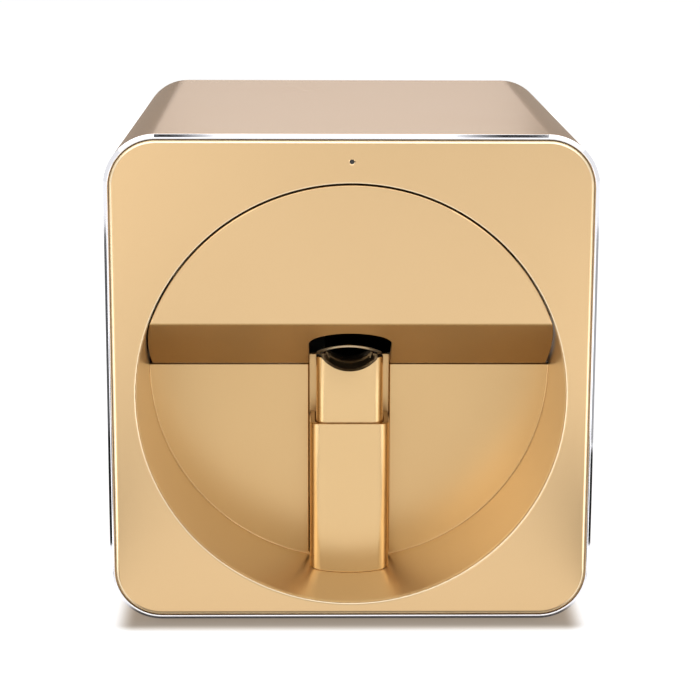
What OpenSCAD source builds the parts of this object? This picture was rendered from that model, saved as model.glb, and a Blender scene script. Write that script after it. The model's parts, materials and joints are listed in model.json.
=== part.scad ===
// Desktop nail art printer with a round hand recess and a spring-loaded finger rest.
// Frame: X to the right, Y from the front face to the back, Z up.
// The origin is on the floor under the middle of the body.

/* [Body] */
// Width of the body
body_w = 205; // [200:1:212]
// Height of the body without its feet
body_h = 208.4; // [205:0.2:214]
// Depth from the front face to the rear cover
body_d = 241.4; // [236:0.2:250]
// Outer radius of the four long corners
corner_r = 21.8; // [20:0.2:24]
// Wall thickness of the outer sleeve
wall_t = 2.5; // [2:0.1:3]
// Height of the rubber feet
foot_h = 2.6; // [2:0.1:4]

/* [Front] */
// Width of the bright trim seen from the front
trim_w = 1.9; // [1.5:0.1:2.5]
// Depth of the bright trim
trim_d = 2.6; // [2:0.1:3]
// Radius of the round recess at the front face
bowl_r = 90.3; // [88:0.1:91]
// How much smaller the recess radius is at its back wall
bowl_taper = 1.5; // [0.5:0.1:3]
// Depth of the recess
bowl_depth = 59; // [57:0.5:60]
// Height of the recess centre over the bottom of the sleeve
bowl_rise = 97.8; // [97:0.1:99]
// Height of the cover's front edge over the recess centre
cover_rise = 31.2; // [30:0.1:33]
// Height of the cover's rear edge over the recess centre
cover_fall = 1.5; // [1:0.1:2]
// Width of the arched finger opening in the cover
arch_w = 35.6; // [34:0.2:37]
// Depth of the arch's crown behind the front face
arch_y = 13; // [12:0.5:15]

/* [Finger rest] */
// Width of the fixed column
column_w = 35; // [33:0.2:35]
// Height of the column's rim over the bottom of the sleeve
column_rise = 76.7; // [74:0.1:78]
// Depth of the column's front behind the front face
column_y = 38.8; // [37:0.1:40]
// Width of the sliding finger rest
rest_w = 29.4; // [29:0.1:30]
// Height of the finger rest over the bottom of the sleeve
rest_rise = 106; // [105:0.2:107]
// Radius of the finger trough
trough_r = 15.6; // [15:0.1:16.5]
// How far the finger rest can be pressed down
rest_travel = 14; // [10:1:14]
// Number of turns in the rest's spring
spring_turns = 9; // [7:1:10]

/* [Print mechanism] */
// Forward travel of the gantry
gantry_travel = 23; // [18:1:23]
// Radius of the guide rods
rod_r = 3; // [2.5:0.5:3]
// Height of the fore-and-aft rails
rail_z = 156; // [154:0.5:157]
// Distance of each rail from the middle
rail_x = 78; // [77:0.5:79]
// Depth position of the two cross rods
rod_y = 24; // [23:0.5:25]
// Height of the lower cross rod
rod_low_z = 140; // [139:0.5:141]
// Height of the upper cross rod
rod_high_z = 170; // [169:0.5:171]
// Pitch radius of the belt pulleys
pulley_r = 5.7; // [5:0.1:6]
// Width of the drive belt
belt_w = 6; // [4:1:6]

/* [Fan and sockets] */
// Side of the square fan
fan_w = 60; // [50:1:60]
// Number of fan blades
fan_blades = 7; // [5:1:9]
// Radius of the power button
button_r = 5.5; // [4.5:0.1:6]

/* [Hidden] */

$fn = 96;
eps = 0.01;

// Main planes and centres
front_y = -body_d / 2;
rear_y = body_d / 2;
mid_z = foot_h + body_h / 2;
sleeve_y = front_y + trim_d;
floor_z = foot_h + wall_t;
inner_r = corner_r - wall_t;

// Screw channels in the sleeve's corners
channel_out = inner_r - 2.5;
channel_x = body_w / 2 - corner_r + channel_out * cos(45);
channel_dz = body_h / 2 - corner_r + channel_out * sin(45);
channel_hole_r = 1.4;

// Trim and bezel
trim_bevel = 1.3;
trim_y = front_y + 0.4;
bezel_inset = trim_w + 0.35;
bezel_t = 2.4;
bezel_edge = 1.2;
bezel_back = front_y + bezel_t;
light_z = foot_h + 197.2;

// Round recess
bowl_z = foot_h + bowl_rise;
bowl_back = front_y + bowl_depth;
bowl_t = 2;
bowl_back_r = bowl_r - bowl_taper;
back_wall_t = 2.5;
slot_w = column_w + 1;
slot_depth = 4;
slot_back = bowl_back + slot_depth;
slot_back_t = 2;
slot_top = foot_h + 103.1;
slot_bottom = bowl_z - bowl_back_r + 2.8;

// Front cover
cover_gap = 0.6;
cover_t = 2.4;
cover_z = bowl_z + cover_rise;
cover_back_z = bowl_z + cover_fall;
cover_slope = atan((cover_z - cover_back_z) / bowl_depth);
cover_back = bowl_back - 0.4;
cover_rim_d = 14;
magnet_r = 3;
magnet_t = 2;
magnet_air = 0.3;
magnet_ring = 83.5;
cover_magnet_y = front_y + cover_t + cover_rim_d;
magnet_angles = [35, 68, 112, 145];

// Finger rest and column
column_front = front_y + column_y;
column_top = foot_h + column_rise;
column_front_t = 1.4;
column_floor = floor_z + 17.3;
rest_front = column_front + 1.7;
rest_back = slot_back - 2;
rest_top = foot_h + rest_rise;
rest_fall = 2.6;
pad_front = rest_front + 9.7;
pad_r = 17.7;
pad_z = foot_h + 101.3 + pad_r;
rest_bottom = foot_h + 53.4;
trough_z = rest_top - 6.1 + trough_r;
tongue_w = 24;
tongue_back = rest_back + 17.2;
tongue_bottom = rest_top - 12.6;
tongue_top = rest_top - 3.2;
tongue_r = 14.3;
tongue_trough_z = rest_top - 7.3 + tongue_r;
port_w = 25.4;
port_bottom = tongue_bottom - rest_travel - 0.6;
stop_z = foot_h + 67.4;
stop_r = 1.2;
column_screw_z = [foot_h + 32, foot_h + 50];
guide_r = 36;
guide_t = 1.2;
guide_top = foot_h + 106.5;
guide_hw = 14.6;
spring_r = 5;
spring_wire_r = 0.6;
spring_y = (rest_front + rest_back) / 2;
spring_top = rest_bottom + 14;
coil_sides = 6;
coil_steps = 8;

// Chassis
chassis_z = 9;
chassis_t = 2.5;
chassis_top = chassis_z + chassis_t;
chassis_w = 176;
chassis_front = -50;
chassis_back = 112;
standoff_spots = [[-70, -40], [70, -40], [-70, 104], [70, 104]];
foot_spots = [[-72, -92], [72, -92], [-72, 92], [72, 92]];
foot_r = 8;
frame_x = chassis_w / 2;
frame_t = 2;
frame_top = 172;

// Gantry, rods and screw
block_x = [70, 84];
block_y = [10, 43];
block_z = [132, 180];
bushing_out = 5;
run_gap = 0.05;
screw_x = -60;
screw_r = 2.5;
screw_front = block_y[0] - gantry_travel - 17;
rail_y = [screw_front - 20, 58];
rail_block_l = 8;
bearing_y = [screw_front, screw_front + 6];
nut_y = [12, 26];
motor_side = 28;
motor_face = 62;
motor_hole = 11.5;
belt_y = 32;
belt_z = 155;
belt_t = 1.2;
idler_x = -42;
motor_x = 60;
beam_y = [40, 43];
beam_z = [146, 166];
belt_motor_r = 11.5;

// Carriage and cartridge
carriage_hw = 21.6;
cart_w = 38;
cart_y = [-38, 12];
cart_z = [126.4, 176];
snout_z = 118.4;
latch_y = 12;
latch_z = 183;
latch_hook_y = -18;
latch_pin_r = 1.5;
latch_knuckle_r = 3.3;
latch_knuckle_hw = 14.6;
cap_x = 44;
cap_y = -23;
tower_top = 108;

// Rear panel
panel_t = 3;
panel_in = rear_y - panel_t;
fan_x = 48;
fan_z = 150;
fan_t = 15;
fan_hole = fan_w / 2 - 5;
screw_sink = 1.8;
vent_w = 3.2;
vent_pitch = 7;
socket_z = 30;
inlet_x = -66;
port_x = -40;
button_x = 66;
fan_y = [panel_in - 0.6 - fan_t, panel_in - 0.6];

// Boards and leads
board_z = 20;
board_top = board_z + 1.6;
lead_r = 1.1;
lead_bend = 6;

// Shared shapes

// A box given by its low and high value on each axis
module block(x, y, z) {
    translate([x[0], y[0], z[0]])
        cube([x[1] - x[0], y[1] - y[0], z[1] - z[0]]);
}

// The same on the left and on the right
module both() {
    children();
    mirror([1, 0, 0]) children();
}

// A round bar along X, Y or Z
module x_bar(y, z, x, r) {
    translate([x[0], y, z]) rotate([0, 90, 0]) cylinder(h = x[1] - x[0], r = r);
}
module y_bar(x, z, y, r) {
    translate([x, y[0], z]) rotate([-90, 0, 0]) cylinder(h = y[1] - y[0], r = r);
}
module z_bar(x, y, z, r) {
    translate([x, y, z[0]]) cylinder(h = z[1] - z[0], r = r);
}

// A cone along Y
module y_cone(x, z, y, r) {
    translate([x, y[0], z]) rotate([-90, 0, 0])
        cylinder(h = y[1] - y[0], r1 = r[0], r2 = r[1]);
}

// An outline drawn in X and Z, given thickness along Y
module panel(y) {
    translate([0, y[1], 0]) rotate([90, 0, 0]) linear_extrude(y[1] - y[0]) children();
}

// An outline drawn in Y and Z, given thickness along X
module side_panel(x) {
    translate([x[0], 0, 0]) rotate([90, 0, 90]) linear_extrude(x[1] - x[0]) children();
}

// Bars along the four corner channels
module corner_bars(y, r) {
    for (sx = [-1, 1], sz = [-1, 1]) y_bar(sx * channel_x, mid_z + sz * channel_dz, y, r);
}

// Bars through the four corners of the fan, and of a motor's flange
module square_bars(x, z, half, y, r) {
    for (sx = [-1, 1], sz = [-1, 1]) y_bar(x + sx * half, z + sz * half, y, r);
}

// Short bars at the places of the cover's magnets
module magnet_bars(y, r) {
    for (a = magnet_angles) y_bar(magnet_ring * cos(a), bowl_z + magnet_ring * sin(a), y, r);
}

module round_rect(w, h, r) {
    square([w - 2 * r, h], center = true);
    square([w, h - 2 * r], center = true);
    for (sx = [-1, 1], sz = [-1, 1])
        translate([sx * (w / 2 - r), sz * (h / 2 - r)]) circle(r);
}

// A slab across the body, inset from the body's outline
module body_slab(inset, y) {
    panel(y) translate([0, mid_z])
        round_rect(body_w - 2 * inset, body_h - 2 * inset, corner_r - inset);
}

// The sloped edge in front of such a slab
module body_bevel(inset, c, y) {
    w = body_w / 2 - inset;
    h = body_h / 2 - inset;
    r = corner_r - inset;
    for (sx = [-1, 1], sz = [-1, 1])
        y_cone(sx * (w - r), mid_z + sz * (h - r), [y, y + c], [r - c, r]);
    side_panel([-(w - r), w - r]) translate([0, mid_z])
        polygon([[y, c - h], [y, h - c], [y + c, h], [y + c, -h]]);
    translate([0, 0, mid_z - h + r]) linear_extrude(2 * (h - r))
        polygon([[c - w, y], [w - c, y], [w, y + c], [-w, y + c]]);
}

// An outline in X and Y with its two front corners rounded
module front_rounded(w, y, r) {
    translate([-w / 2, y[0] + r]) square([w, y[1] - y[0] - r]);
    translate([-w / 2 + r, y[0]]) square([w - 2 * r, r]);
    for (sx = [-1, 1]) translate([sx * (w / 2 - r), y[0] + r]) circle(r);
}

function bowl_radius(y) = bowl_r - bowl_taper * (y - front_y) / bowl_depth;

// The tapered inside of the recess, grown by g
module bowl_space(g, y) {
    y_cone(0, bowl_z, y, [bowl_radius(y[0]) + g, bowl_radius(y[1]) + g]);
}

// Everything above the cover's sloped underside, shifted up by t
module above_slope(t) {
    translate([-body_w, front_y, cover_z]) rotate([-cover_slope, 0, 0])
        translate([0, -body_d, t]) cube([2 * body_w, 3 * body_d, body_h]);
}

// A pan-head screw along Y: the head outside y, the shank inside
module y_screw(x, z, y, r, len) {
    y_bar(x, z, [y, y + 1.6], 1.9 * r);
    y_bar(x, z, [y - len, y + eps], r);
}

// Case

module outer_sleeve() color([0.83, 0.73, 0.65]) difference() {
    union() {
        difference() {
            body_slab(0, [sleeve_y, rear_y]);
            body_slab(wall_t, [sleeve_y - 1, rear_y + 1]);
        }
        corner_bars([front_y + 4.7, panel_in], 3.4);
    }
    corner_bars([front_y, rear_y], channel_hole_r);
    for (p = foot_spots)
        z_bar(p[0], p[1], [foot_h - 1, floor_z + 1], 2.1);
    for (p = standoff_spots) {
        z_bar(p[0], p[1], [foot_h - 1, floor_z + 1], 1.7);
        translate([p[0], p[1], foot_h - eps]) cylinder(h = 1.6, r1 = 3.3, r2 = 1.7);
    }
}

module front_trim() color("silver") difference() {
    union() {
        body_slab(0, [trim_y + trim_bevel, sleeve_y]);
        body_bevel(0, trim_bevel, trim_y);
    }
    body_slab(trim_w, [front_y - 1, sleeve_y + 1]);
}

module front_bezel() color([0.91, 0.79, 0.6]) difference() {
    union() {
        body_slab(bezel_inset, [front_y + bezel_edge, bezel_back]);
        body_bevel(bezel_inset, bezel_edge, front_y);
        difference() {
            body_slab(wall_t + 0.3, [bezel_back - eps, bezel_back + 2]);
            body_slab(wall_t + 2.7, [bezel_back - 1, bezel_back + 3]);
        }
        corner_bars([bezel_back - eps, bezel_back + 12], channel_hole_r - 0.1);
    }
    y_bar(0, bowl_z, [front_y - 1, bezel_back + 3], bowl_r);
    y_cone(0, bowl_z, [front_y - eps, front_y + 0.6], [bowl_r + 0.6, bowl_r]);
    y_bar(0, light_z, [front_y - 1, bezel_back + 1], 0.9);
}

module hand_bowl() color([0.8, 0.66, 0.45]) {
    difference() {
        union() {
            difference() {
                union() {
                    bowl_space(bowl_t, [bezel_back, bowl_back + back_wall_t]);
                    bowl_flange();
                    rear_ring();
                }
                bowl_space(0, [bezel_back - 1, bowl_back + back_wall_t + 1]);
            }
            back_wall();
            channel_walls();
            both() bowl_tab();
        }
        for (z = column_screw_z) y_bar(0, z, [bowl_back, slot_back + 3], 1.6);
        y_bar(0, stop_z, [bowl_back, slot_back + 3], 1.3);
    }
    for (a = magnet_angles) magnet_lug(a);
}

// Flange that is glued behind the bezel
module bowl_flange() intersection() {
    y_bar(0, bowl_z, [bezel_back, bezel_back + 1.8], bowl_r + 4);
    block([-body_w, body_w], [front_y, 0], [foot_h + 18, body_h]);
}

// Stiffening ring round the open upper half, with a lug for the camera bracket
module rear_ring() intersection() {
    union() {
        y_bar(0, bowl_z, [bowl_back, bowl_back + back_wall_t], bowl_r + 4);
        block([-14, 14], [bowl_back, bowl_back + back_wall_t], [bowl_z + 84, bowl_z + 98]);
    }
    block([-body_w, body_w], [front_y, 0], [bowl_z, 2 * body_h]);
}

// Back wall of the lower half, with the slot for the column
module back_wall() panel([bowl_back, bowl_back + back_wall_t]) difference() {
    intersection() {
        translate([0, bowl_z]) circle(bowl_back_r + 1);
        translate([-body_w, 0]) square([2 * body_w, cover_back_z]);
    }
    translate([-slot_w / 2, slot_bottom]) square([slot_w, body_h]);
}

// Shallow channel behind the slot, with the port that the tongue passes through
module channel_walls() difference() {
    block([-slot_w / 2 - 2, slot_w / 2 + 2], [bowl_back + 1, slot_back + slot_back_t],
        [slot_bottom - 2, slot_top]);
    block([-slot_w / 2, slot_w / 2], [bowl_back, slot_back], [slot_bottom, slot_top + 1]);
    block([-port_w / 2, port_w / 2], [slot_back - 1, slot_back + 3], [port_bottom, slot_top + 1]);
}

// Foot of the bowl that stands on the chassis
module bowl_tab() {
    block([48, 60], [bowl_back + eps, bowl_back + back_wall_t], [chassis_top, 40]);
    block([48, 60], [bowl_back + eps, -40], [chassis_top, chassis_top + 2]);
}

module magnet_lug(a) {
    x = magnet_ring * cos(a);
    z = bowl_z + magnet_ring * sin(a);
    y0 = cover_magnet_y + magnet_air;
    difference() {
        intersection() {
            union() {
                y_bar(x, z, [y0, y0 + 4], 5);
                translate([x, 0, z]) rotate([0, -a, 0])
                    block([0, 9], [y0, y0 + 4], [-4, 4]);
            }
            bowl_space(0.5, [y0 - 1, y0 + 5]);
        }
        y_bar(x, z, [y0 - 1, y0 + magnet_t], magnet_r + 0.05);
    }
}

module bowl_magnets() color("dimgray")
    magnet_bars([cover_magnet_y + magnet_air, cover_magnet_y + magnet_air + magnet_t - 0.02], magnet_r);

module front_cover() color([0.92, 0.8, 0.62]) difference() {
    intersection() {
        cover_space();
        above_slope(0);
        union() {
            block([-body_w, body_w], [front_y - 1, front_y + cover_t], [bowl_z, 2 * body_h]);
            cover_rim();
            slanted_plate();
            magnet_bars([front_y + 1, cover_magnet_y], 4.6);
            both() cover_rib();
        }
    }
    magnet_bars([cover_magnet_y - magnet_t, cover_magnet_y + 1], magnet_r + 0.05);
    finger_arch();
}

// The tapered outside of the cover, clear of the recess all round
module cover_space()
    y_cone(0, bowl_z, [front_y, cover_back], [bowl_r - cover_gap, bowl_back_r - 2 * cover_gap]);

// Curved rim behind the front plate
module cover_rim() difference() {
    block([-body_w, body_w], [front_y - 1, cover_magnet_y], [cover_z, 2 * body_h]);
    y_bar(0, bowl_z, [front_y - 2, cover_magnet_y + 1], bowl_r - cover_gap - 2.2);
}

// Upright web that stiffens the slope
module cover_rib() side_panel([59, 61])
    polygon([
        [front_y + 1, cover_z + 1],
        [cover_back - 4, cover_back_z + 3],
        [cover_back - 4, cover_back_z + 11],
        [front_y + 1, cover_z + 30]
    ]);

// Sloped plate that closes the cover below
module slanted_plate() difference() {
    block([-body_w, body_w], [front_y - 1, cover_back + 1], [bowl_z, cover_z + 2 * cover_t]);
    above_slope(cover_t);
}

// Arched finger opening, square to the slope
module finger_arch() translate([0, front_y, cover_z]) rotate([-cover_slope, 0, 0])
    translate([0, arch_y / cos(cover_slope) + arch_w / 2, -5]) {
        cylinder(h = 20, r = arch_w / 2);
        translate([-arch_w / 2, 0, 0]) cube([arch_w, bowl_depth, 20]);
    }

module cover_magnets() color("dimgray")
    magnet_bars([cover_magnet_y - magnet_t + 0.02, cover_magnet_y], magnet_r);

module indicator_light() color([0.15, 0.12, 0.1]) {
    y_bar(0, light_z, [front_y + 0.3, bezel_back + 4], 0.85);
    y_bar(0, light_z, [bezel_back, bezel_back + 1.5], 2);
}

module indicator_board() color("darkgreen") {
    block([-9, 9], [bezel_back + 6, bezel_back + 7.6], [light_z - 4, light_z + 4]);
    y_bar(0, light_z, [bezel_back + 4.1, bezel_back + 6 + eps], 1.5);
}

module feet() color([0.12, 0.12, 0.12])
    for (p = foot_spots) {
        translate([p[0], p[1], 0]) cylinder(h = 0.8, r1 = foot_r - 0.8, r2 = foot_r);
        z_bar(p[0], p[1], [0.8 - eps, foot_h], foot_r);
        z_bar(p[0], p[1], [foot_h - eps, floor_z], 2.05);
        translate([p[0], p[1], floor_z - eps]) cylinder(h = 1.3, r1 = 3, r2 = 1.4);
    }

// Finger rest

module rest_column() color([0.86, 0.74, 0.52]) difference() {
    intersection() {
        linear_extrude(column_top) front_rounded(column_w, [column_front, slot_back], 5);
        union() {
            bowl_space(-0.05, [column_front - 1, bowl_back]);
            block([-column_w, column_w], [bowl_back - eps, slot_back], [slot_bottom + 0.05, body_h]);
        }
    }
    translate([0, 0, column_floor]) linear_extrude(column_top)
        front_rounded(rest_w + 0.6, [column_front + column_front_t, rest_back + 0.3], 4.6);
    for (z = column_screw_z) y_bar(0, z, [rest_back, slot_back + 1], 1.25);
    y_bar(0, stop_z, [rest_back, slot_back + 1], 1.22);
}

module finger_rest() color([0.87, 0.76, 0.55]) difference() {
    union() {
        translate([0, 0, rest_bottom]) linear_extrude(rest_top - rest_bottom)
            front_rounded(rest_w, [rest_front, rest_back], 4.3);
        block([-tongue_w / 2, tongue_w / 2], [rest_back - eps, tongue_back], [tongue_bottom, tongue_top]);
    }
    side_panel([-rest_w, rest_w]) polygon([
        [rest_front + 3, rest_top], [rest_back + 1, rest_top - rest_fall],
        [rest_back + 1, rest_top + 1], [rest_front + 3, rest_top + 1]
    ]);
    y_bar(0, trough_z, [rest_front - 1, pad_front], trough_r);
    y_bar(0, pad_z, [pad_front - eps, rest_back], pad_r);
    y_bar(0, tongue_trough_z, [rest_back - eps, tongue_back + 1], tongue_r);
    z_bar(0, spring_y, [rest_bottom - 1, spring_top], spring_r + 1.5);
    block([-1.6, 1.6], [rest_back - 2.6, rest_back + eps],
        [stop_z - stop_r - 0.4, stop_z + rest_travel + stop_r + 0.4]);
}

// Points of a coil: coil_sides points round the wire at each step
function coil_ring(a, z) = [
    for (k = [0 : coil_sides - 1])
        let (b = 360 * k / coil_sides, r = spring_r + spring_wire_r * cos(b))
            [r * cos(a), r * sin(a), z + spring_wire_r * sin(b)]
];
function coil_centre(i, n, z0, z1) =
    [spring_r * cos(360 * i / coil_steps), spring_r * sin(360 * i / coil_steps), z0 + (z1 - z0) * i / n];
function quad(a, b, c, d) = [[a, b, c], [a, c, d]];

module coil(z0, z1, turns) {
    n = turns * coil_steps;
    points = [for (i = [0 : n]) each coil_ring(360 * i / coil_steps, z0 + (z1 - z0) * i / n)];
    sides = [
        for (i = [0 : n - 1], k = [0 : coil_sides - 1])
            let (k2 = (k + 1) % coil_sides, p = i * coil_sides, q = p + coil_sides)
                each quad(p + k, p + k2, q + k2, q + k)
    ];
    caps = [
        for (k = [1 : coil_sides - 2]) each [
            [0, k + 1, k],
            [n * coil_sides, n * coil_sides + k, n * coil_sides + k + 1]
        ]
    ];
    polyhedron(points, concat(sides, caps));
    gap = min([
        for (i = [0 : n - coil_steps], j = [i + coil_steps / 2 : min(n, i + 2 * coil_steps)])
            norm(coil_centre(i, n, z0, z1) - coil_centre(j, n, z0, z1))
    ]) - 2 * spring_wire_r;
    echo(least_gap_between_spring_turns = gap);
}

module rest_spring() color("lightgray")
    translate([0, spring_y, 0])
        coil(column_floor + spring_wire_r + 0.05, spring_top - spring_wire_r - 0.05, spring_turns);

module rest_stop_screw() color("silver") {
    y_bar(0, stop_z, [slot_back + slot_back_t, slot_back + slot_back_t + 2], 2.4);
    y_bar(0, stop_z, [rest_back - 2.2, slot_back + slot_back_t + eps], stop_r);
    for (z = column_screw_z) {
        y_bar(0, z, [slot_back + slot_back_t, slot_back + slot_back_t + 2], 2.6);
        y_bar(0, z, [rest_back + 0.4, slot_back + slot_back_t + eps], 1.22);
    }
}

// Thin arch that the nail is pressed up against
module nail_guide() color([0.8, 0.62, 0.4]) panel([slot_back + slot_back_t, slot_back + slot_back_t + 1.2]) {
    difference() {
        intersection() {
            translate([0, guide_top - guide_r]) circle(guide_r);
            translate([-guide_hw, slot_top - 6]) square([2 * guide_hw, 20]);
        }
        translate([0, guide_top - guide_r]) circle(guide_r - guide_t);
    }
    for (sx = [-1, 1]) translate([sx * 15.2 - 1.8, slot_top - 20]) square([3.6, 19.4]);
}

// Chassis

module base_chassis() color([0.62, 0.64, 0.66]) difference() {
    union() {
        block([-frame_x, frame_x], [chassis_front, chassis_back], [chassis_z, chassis_top]);
        for (p = standoff_spots) z_bar(p[0], p[1], [floor_z, chassis_z + eps], 5);
        block([-60, 60], [chassis_back - 2, chassis_back], [chassis_top - eps, chassis_top + 9]);
        for (x = [-44, 44], y = [25, 80]) z_bar(x, y, [chassis_top - eps, board_z], 2.8);
    }
    for (p = standoff_spots) z_bar(p[0], p[1], [floor_z - 1, chassis_top + 1], 1.5);
    for (x = [-60 : 20 : 60]) block([x - 5, x + 5], [-30, 6], [chassis_z - 1, chassis_top + 1]);
}

module chassis_screws() color("silver")
    for (p = standoff_spots) {
        translate([p[0], p[1], foot_h + 0.1]) cylinder(h = 1.5, r1 = 3.1, r2 = 1.5);
        z_bar(p[0], p[1], [foot_h + 1.5, chassis_top + 1.5], 1.45);
    }

module side_frame(s) color([0.66, 0.68, 0.7]) mirror([s < 0 ? 1 : 0, 0, 0]) {
    difference() {
        side_panel([frame_x - frame_t, frame_x]) difference() {
            polygon([
                [-52, chassis_top], [94, chassis_top], [94, frame_top - 20],
                [74, frame_top], [-38, frame_top], [-52, frame_top - 14]
            ]);
            for (y = [-30 : 40 : 70]) translate([y, 74]) round_rect(22, 70, 8);
        }
        for (y = [rail_y[0] + rail_block_l / 2, rail_y[1] - rail_block_l / 2])
            x_bar(y, rail_z, [frame_x - 5, frame_x + 1], 1.6);
    }
    block([frame_x - 10, frame_x - frame_t + eps], [-50, 92], [chassis_top, chassis_top + 2]);
}
module side_frame_left() side_frame(-1);
module side_frame_right() side_frame(1);

module rails() color("gainsboro")
    for (sx = [-1, 1]) y_bar(sx * rail_x, rail_z, rail_y, rod_r);

module rail_blocks() color([0.15, 0.15, 0.17])
    for (sx = [-1, 1], y = [rail_y[0], rail_y[1] - rail_block_l]) difference() {
        translate([sx * (rail_x + 1) - 7, y, rail_z - 8]) cube([14, rail_block_l, 16]);
        y_bar(sx * rail_x, rail_z, [y - 1, y + rail_block_l + 1], rod_r + 0.02);
    }

// Gantry

module gantry_frame() color([0.55, 0.57, 0.6]) difference() {
    union() {
        both() {
            block(block_x, block_y, block_z);
            block([block_x[0], block_x[0] + 4], [26, 32], [block_z[1] - eps, 194]);
        }
        block([-block_x[0] - 1, block_x[0] + 1], beam_y, beam_z);
        block([-block_x[0] - 1, screw_x + 8], nut_y, [rail_z - 8, rail_z + 8]);
    }
    for (sx = [-1, 1]) y_bar(sx * rail_x, rail_z, [block_y[0] - 1, block_y[1] + 1], bushing_out + 0.01);
    for (z = [rod_low_z, rod_high_z])
        x_bar(rod_y, z, [-77, 77], rod_r + 0.02);
    y_bar(screw_x, rail_z, [nut_y[0] - 1, nut_y[1] + 1], 4.02);
    y_bar(screw_x, rail_z, [beam_y[0] - 1, beam_y[1] + 1], screw_r + 1);
    y_bar(motor_x, belt_z, [beam_y[0] - 1, beam_y[1] + 1], 4);
    y_bar(idler_x, belt_z, [beam_y[0] - 1, beam_y[1] + 1], 1.52);
    for (x = [-20, 20]) block([x - 14, x + 14], [beam_y[0] - 1, beam_y[1] + 1], [151, 161]);
    both() block([block_x[0] - 1, block_x[0] + 2], [28.8, 29.4], [183, 195]);
}

module gantry_bushings() color([0.72, 0.55, 0.3])
    for (sx = [-1, 1], y = [block_y[0], block_y[1] - 9]) difference() {
        y_bar(sx * rail_x, rail_z, [y, y + 9], bushing_out);
        y_bar(sx * rail_x, rail_z, [y - 1, y + 10], rod_r + run_gap);
    }

module cross_rods() color("gainsboro")
    for (z = [rod_low_z, rod_high_z]) x_bar(rod_y, z, [-76, 76], rod_r);

module lead_screw() color("silver") {
    y_bar(screw_x, rail_z, [screw_front, motor_face + 1], screw_r);
    difference() {
        y_bar(screw_x, rail_z, [46, 58], 6);
        for (y = [50, 54]) block([screw_x - 8, screw_x + 1], [y - 0.4, y + 0.4], [rail_z - 8, rail_z + 8]);
    }
}

module lead_nut() color([0.75, 0.6, 0.3]) difference() {
    union() {
        y_bar(screw_x, rail_z, [nut_y[0], nut_y[1] + 2], 4);
        y_bar(screw_x, rail_z, [nut_y[1], nut_y[1] + 2], 7);
    }
    y_bar(screw_x, rail_z, [nut_y[0] - 1, nut_y[1] + 3], screw_r + run_gap);
}

module screw_bearing_block() color([0.15, 0.15, 0.17]) difference() {
    block([-frame_x + frame_t, screw_x + 7], bearing_y, [rail_z - 7, rail_z + 7]);
    y_bar(screw_x, rail_z, [bearing_y[0] - 1, bearing_y[1] + 1], screw_r + run_gap);
    y_bar(-rail_x, rail_z, [bearing_y[0] - 1, bearing_y[1] + 1], rod_r + 0.4);
}

module y_motor() color([0.2, 0.2, 0.22]) difference() {
    union() {
        translate([screw_x, 0, rail_z]) panel([motor_face, motor_face + 6])
            round_rect(motor_side, motor_side, 3);
        translate([screw_x, 0, rail_z]) panel([motor_face + 6 - eps, motor_face + 26])
            round_rect(motor_side - 1.2, motor_side - 1.2, 5);
        translate([screw_x, 0, rail_z]) panel([motor_face + 26 - eps, motor_face + 31])
            round_rect(motor_side, motor_side, 3);
    }
    y_bar(screw_x, rail_z, [motor_face - 1, motor_face + 3], screw_r + 0.1);
    square_bars(screw_x, rail_z, motor_hole, [motor_face - 1, motor_face + 4], 1.25);
}

module y_motor_bracket() color([0.66, 0.68, 0.7]) difference() {
    union() {
        block([-frame_x + frame_t, screw_x + 16], [motor_face - 2, motor_face], [138, frame_top]);
        block([-frame_x + frame_t, -frame_x + 2 * frame_t], [motor_face - eps, 92], [140, frame_top - 20]);
    }
    y_bar(screw_x, rail_z, [motor_face - 3, motor_face + 1], 7);
    square_bars(screw_x, rail_z, motor_hole, [motor_face - 3, motor_face + 1], 1.4);
    y_bar(-rail_x, rail_z, [motor_face - 3, motor_face + 1], rod_r + 0.4);
}

module x_motor() color([0.72, 0.74, 0.76]) difference() {
    union() {
        y_bar(motor_x, belt_z, [beam_y[1], beam_y[1] + 13], belt_motor_r);
        translate([motor_x, 0, belt_z]) panel([beam_y[1], beam_y[1] + 1.2]) round_rect(20, 36, 5);
    }
    y_bar(motor_x, belt_z, [beam_y[1] - 1, beam_y[1] + 9], 1.6);
}

// A flanged belt pulley turning about Y
module pulley(x, bore) difference() {
    union() {
        y_bar(x, belt_z, [belt_y - 0.4, belt_y + belt_w + 0.4], pulley_r);
        for (y = [belt_y - 1.2, belt_y + belt_w + 0.3]) y_bar(x, belt_z, [y, y + 0.9], pulley_r + 1.9);
    }
    if (bore > 0) y_bar(x, belt_z, [belt_y - 3, belt_y + belt_w + 3], bore);
}

module motor_pulley() color("silver") {
    pulley(motor_x, 0);
    y_bar(motor_x, belt_z, [belt_y, beam_y[1] + 8], 1.5);
}

module idler_pulley() color("silver") pulley(idler_x, 1.5 + run_gap);

module idler_pin() color("gray") {
    y_bar(idler_x, belt_z, [belt_y - 2, beam_y[1]], 1.5);
    y_bar(idler_x, belt_z, [belt_y - 3, belt_y - 1.6], 2.6);
}

module belt_outline(r) {
    for (x = [idler_x, motor_x]) translate([x, belt_z]) circle(r);
    translate([idler_x, belt_z - r]) square([motor_x - idler_x, 2 * r]);
}
module drive_belt() color([0.1, 0.1, 0.1]) panel([belt_y, belt_y + belt_w]) difference() {
    belt_outline(pulley_r + run_gap + belt_t);
    belt_outline(pulley_r + run_gap);
}

module encoder_strip() color([0.8, 0.8, 0.75]) block([-71.5, 71.5], [29, 29.2], [184, 192]);

// Carriage

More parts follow.
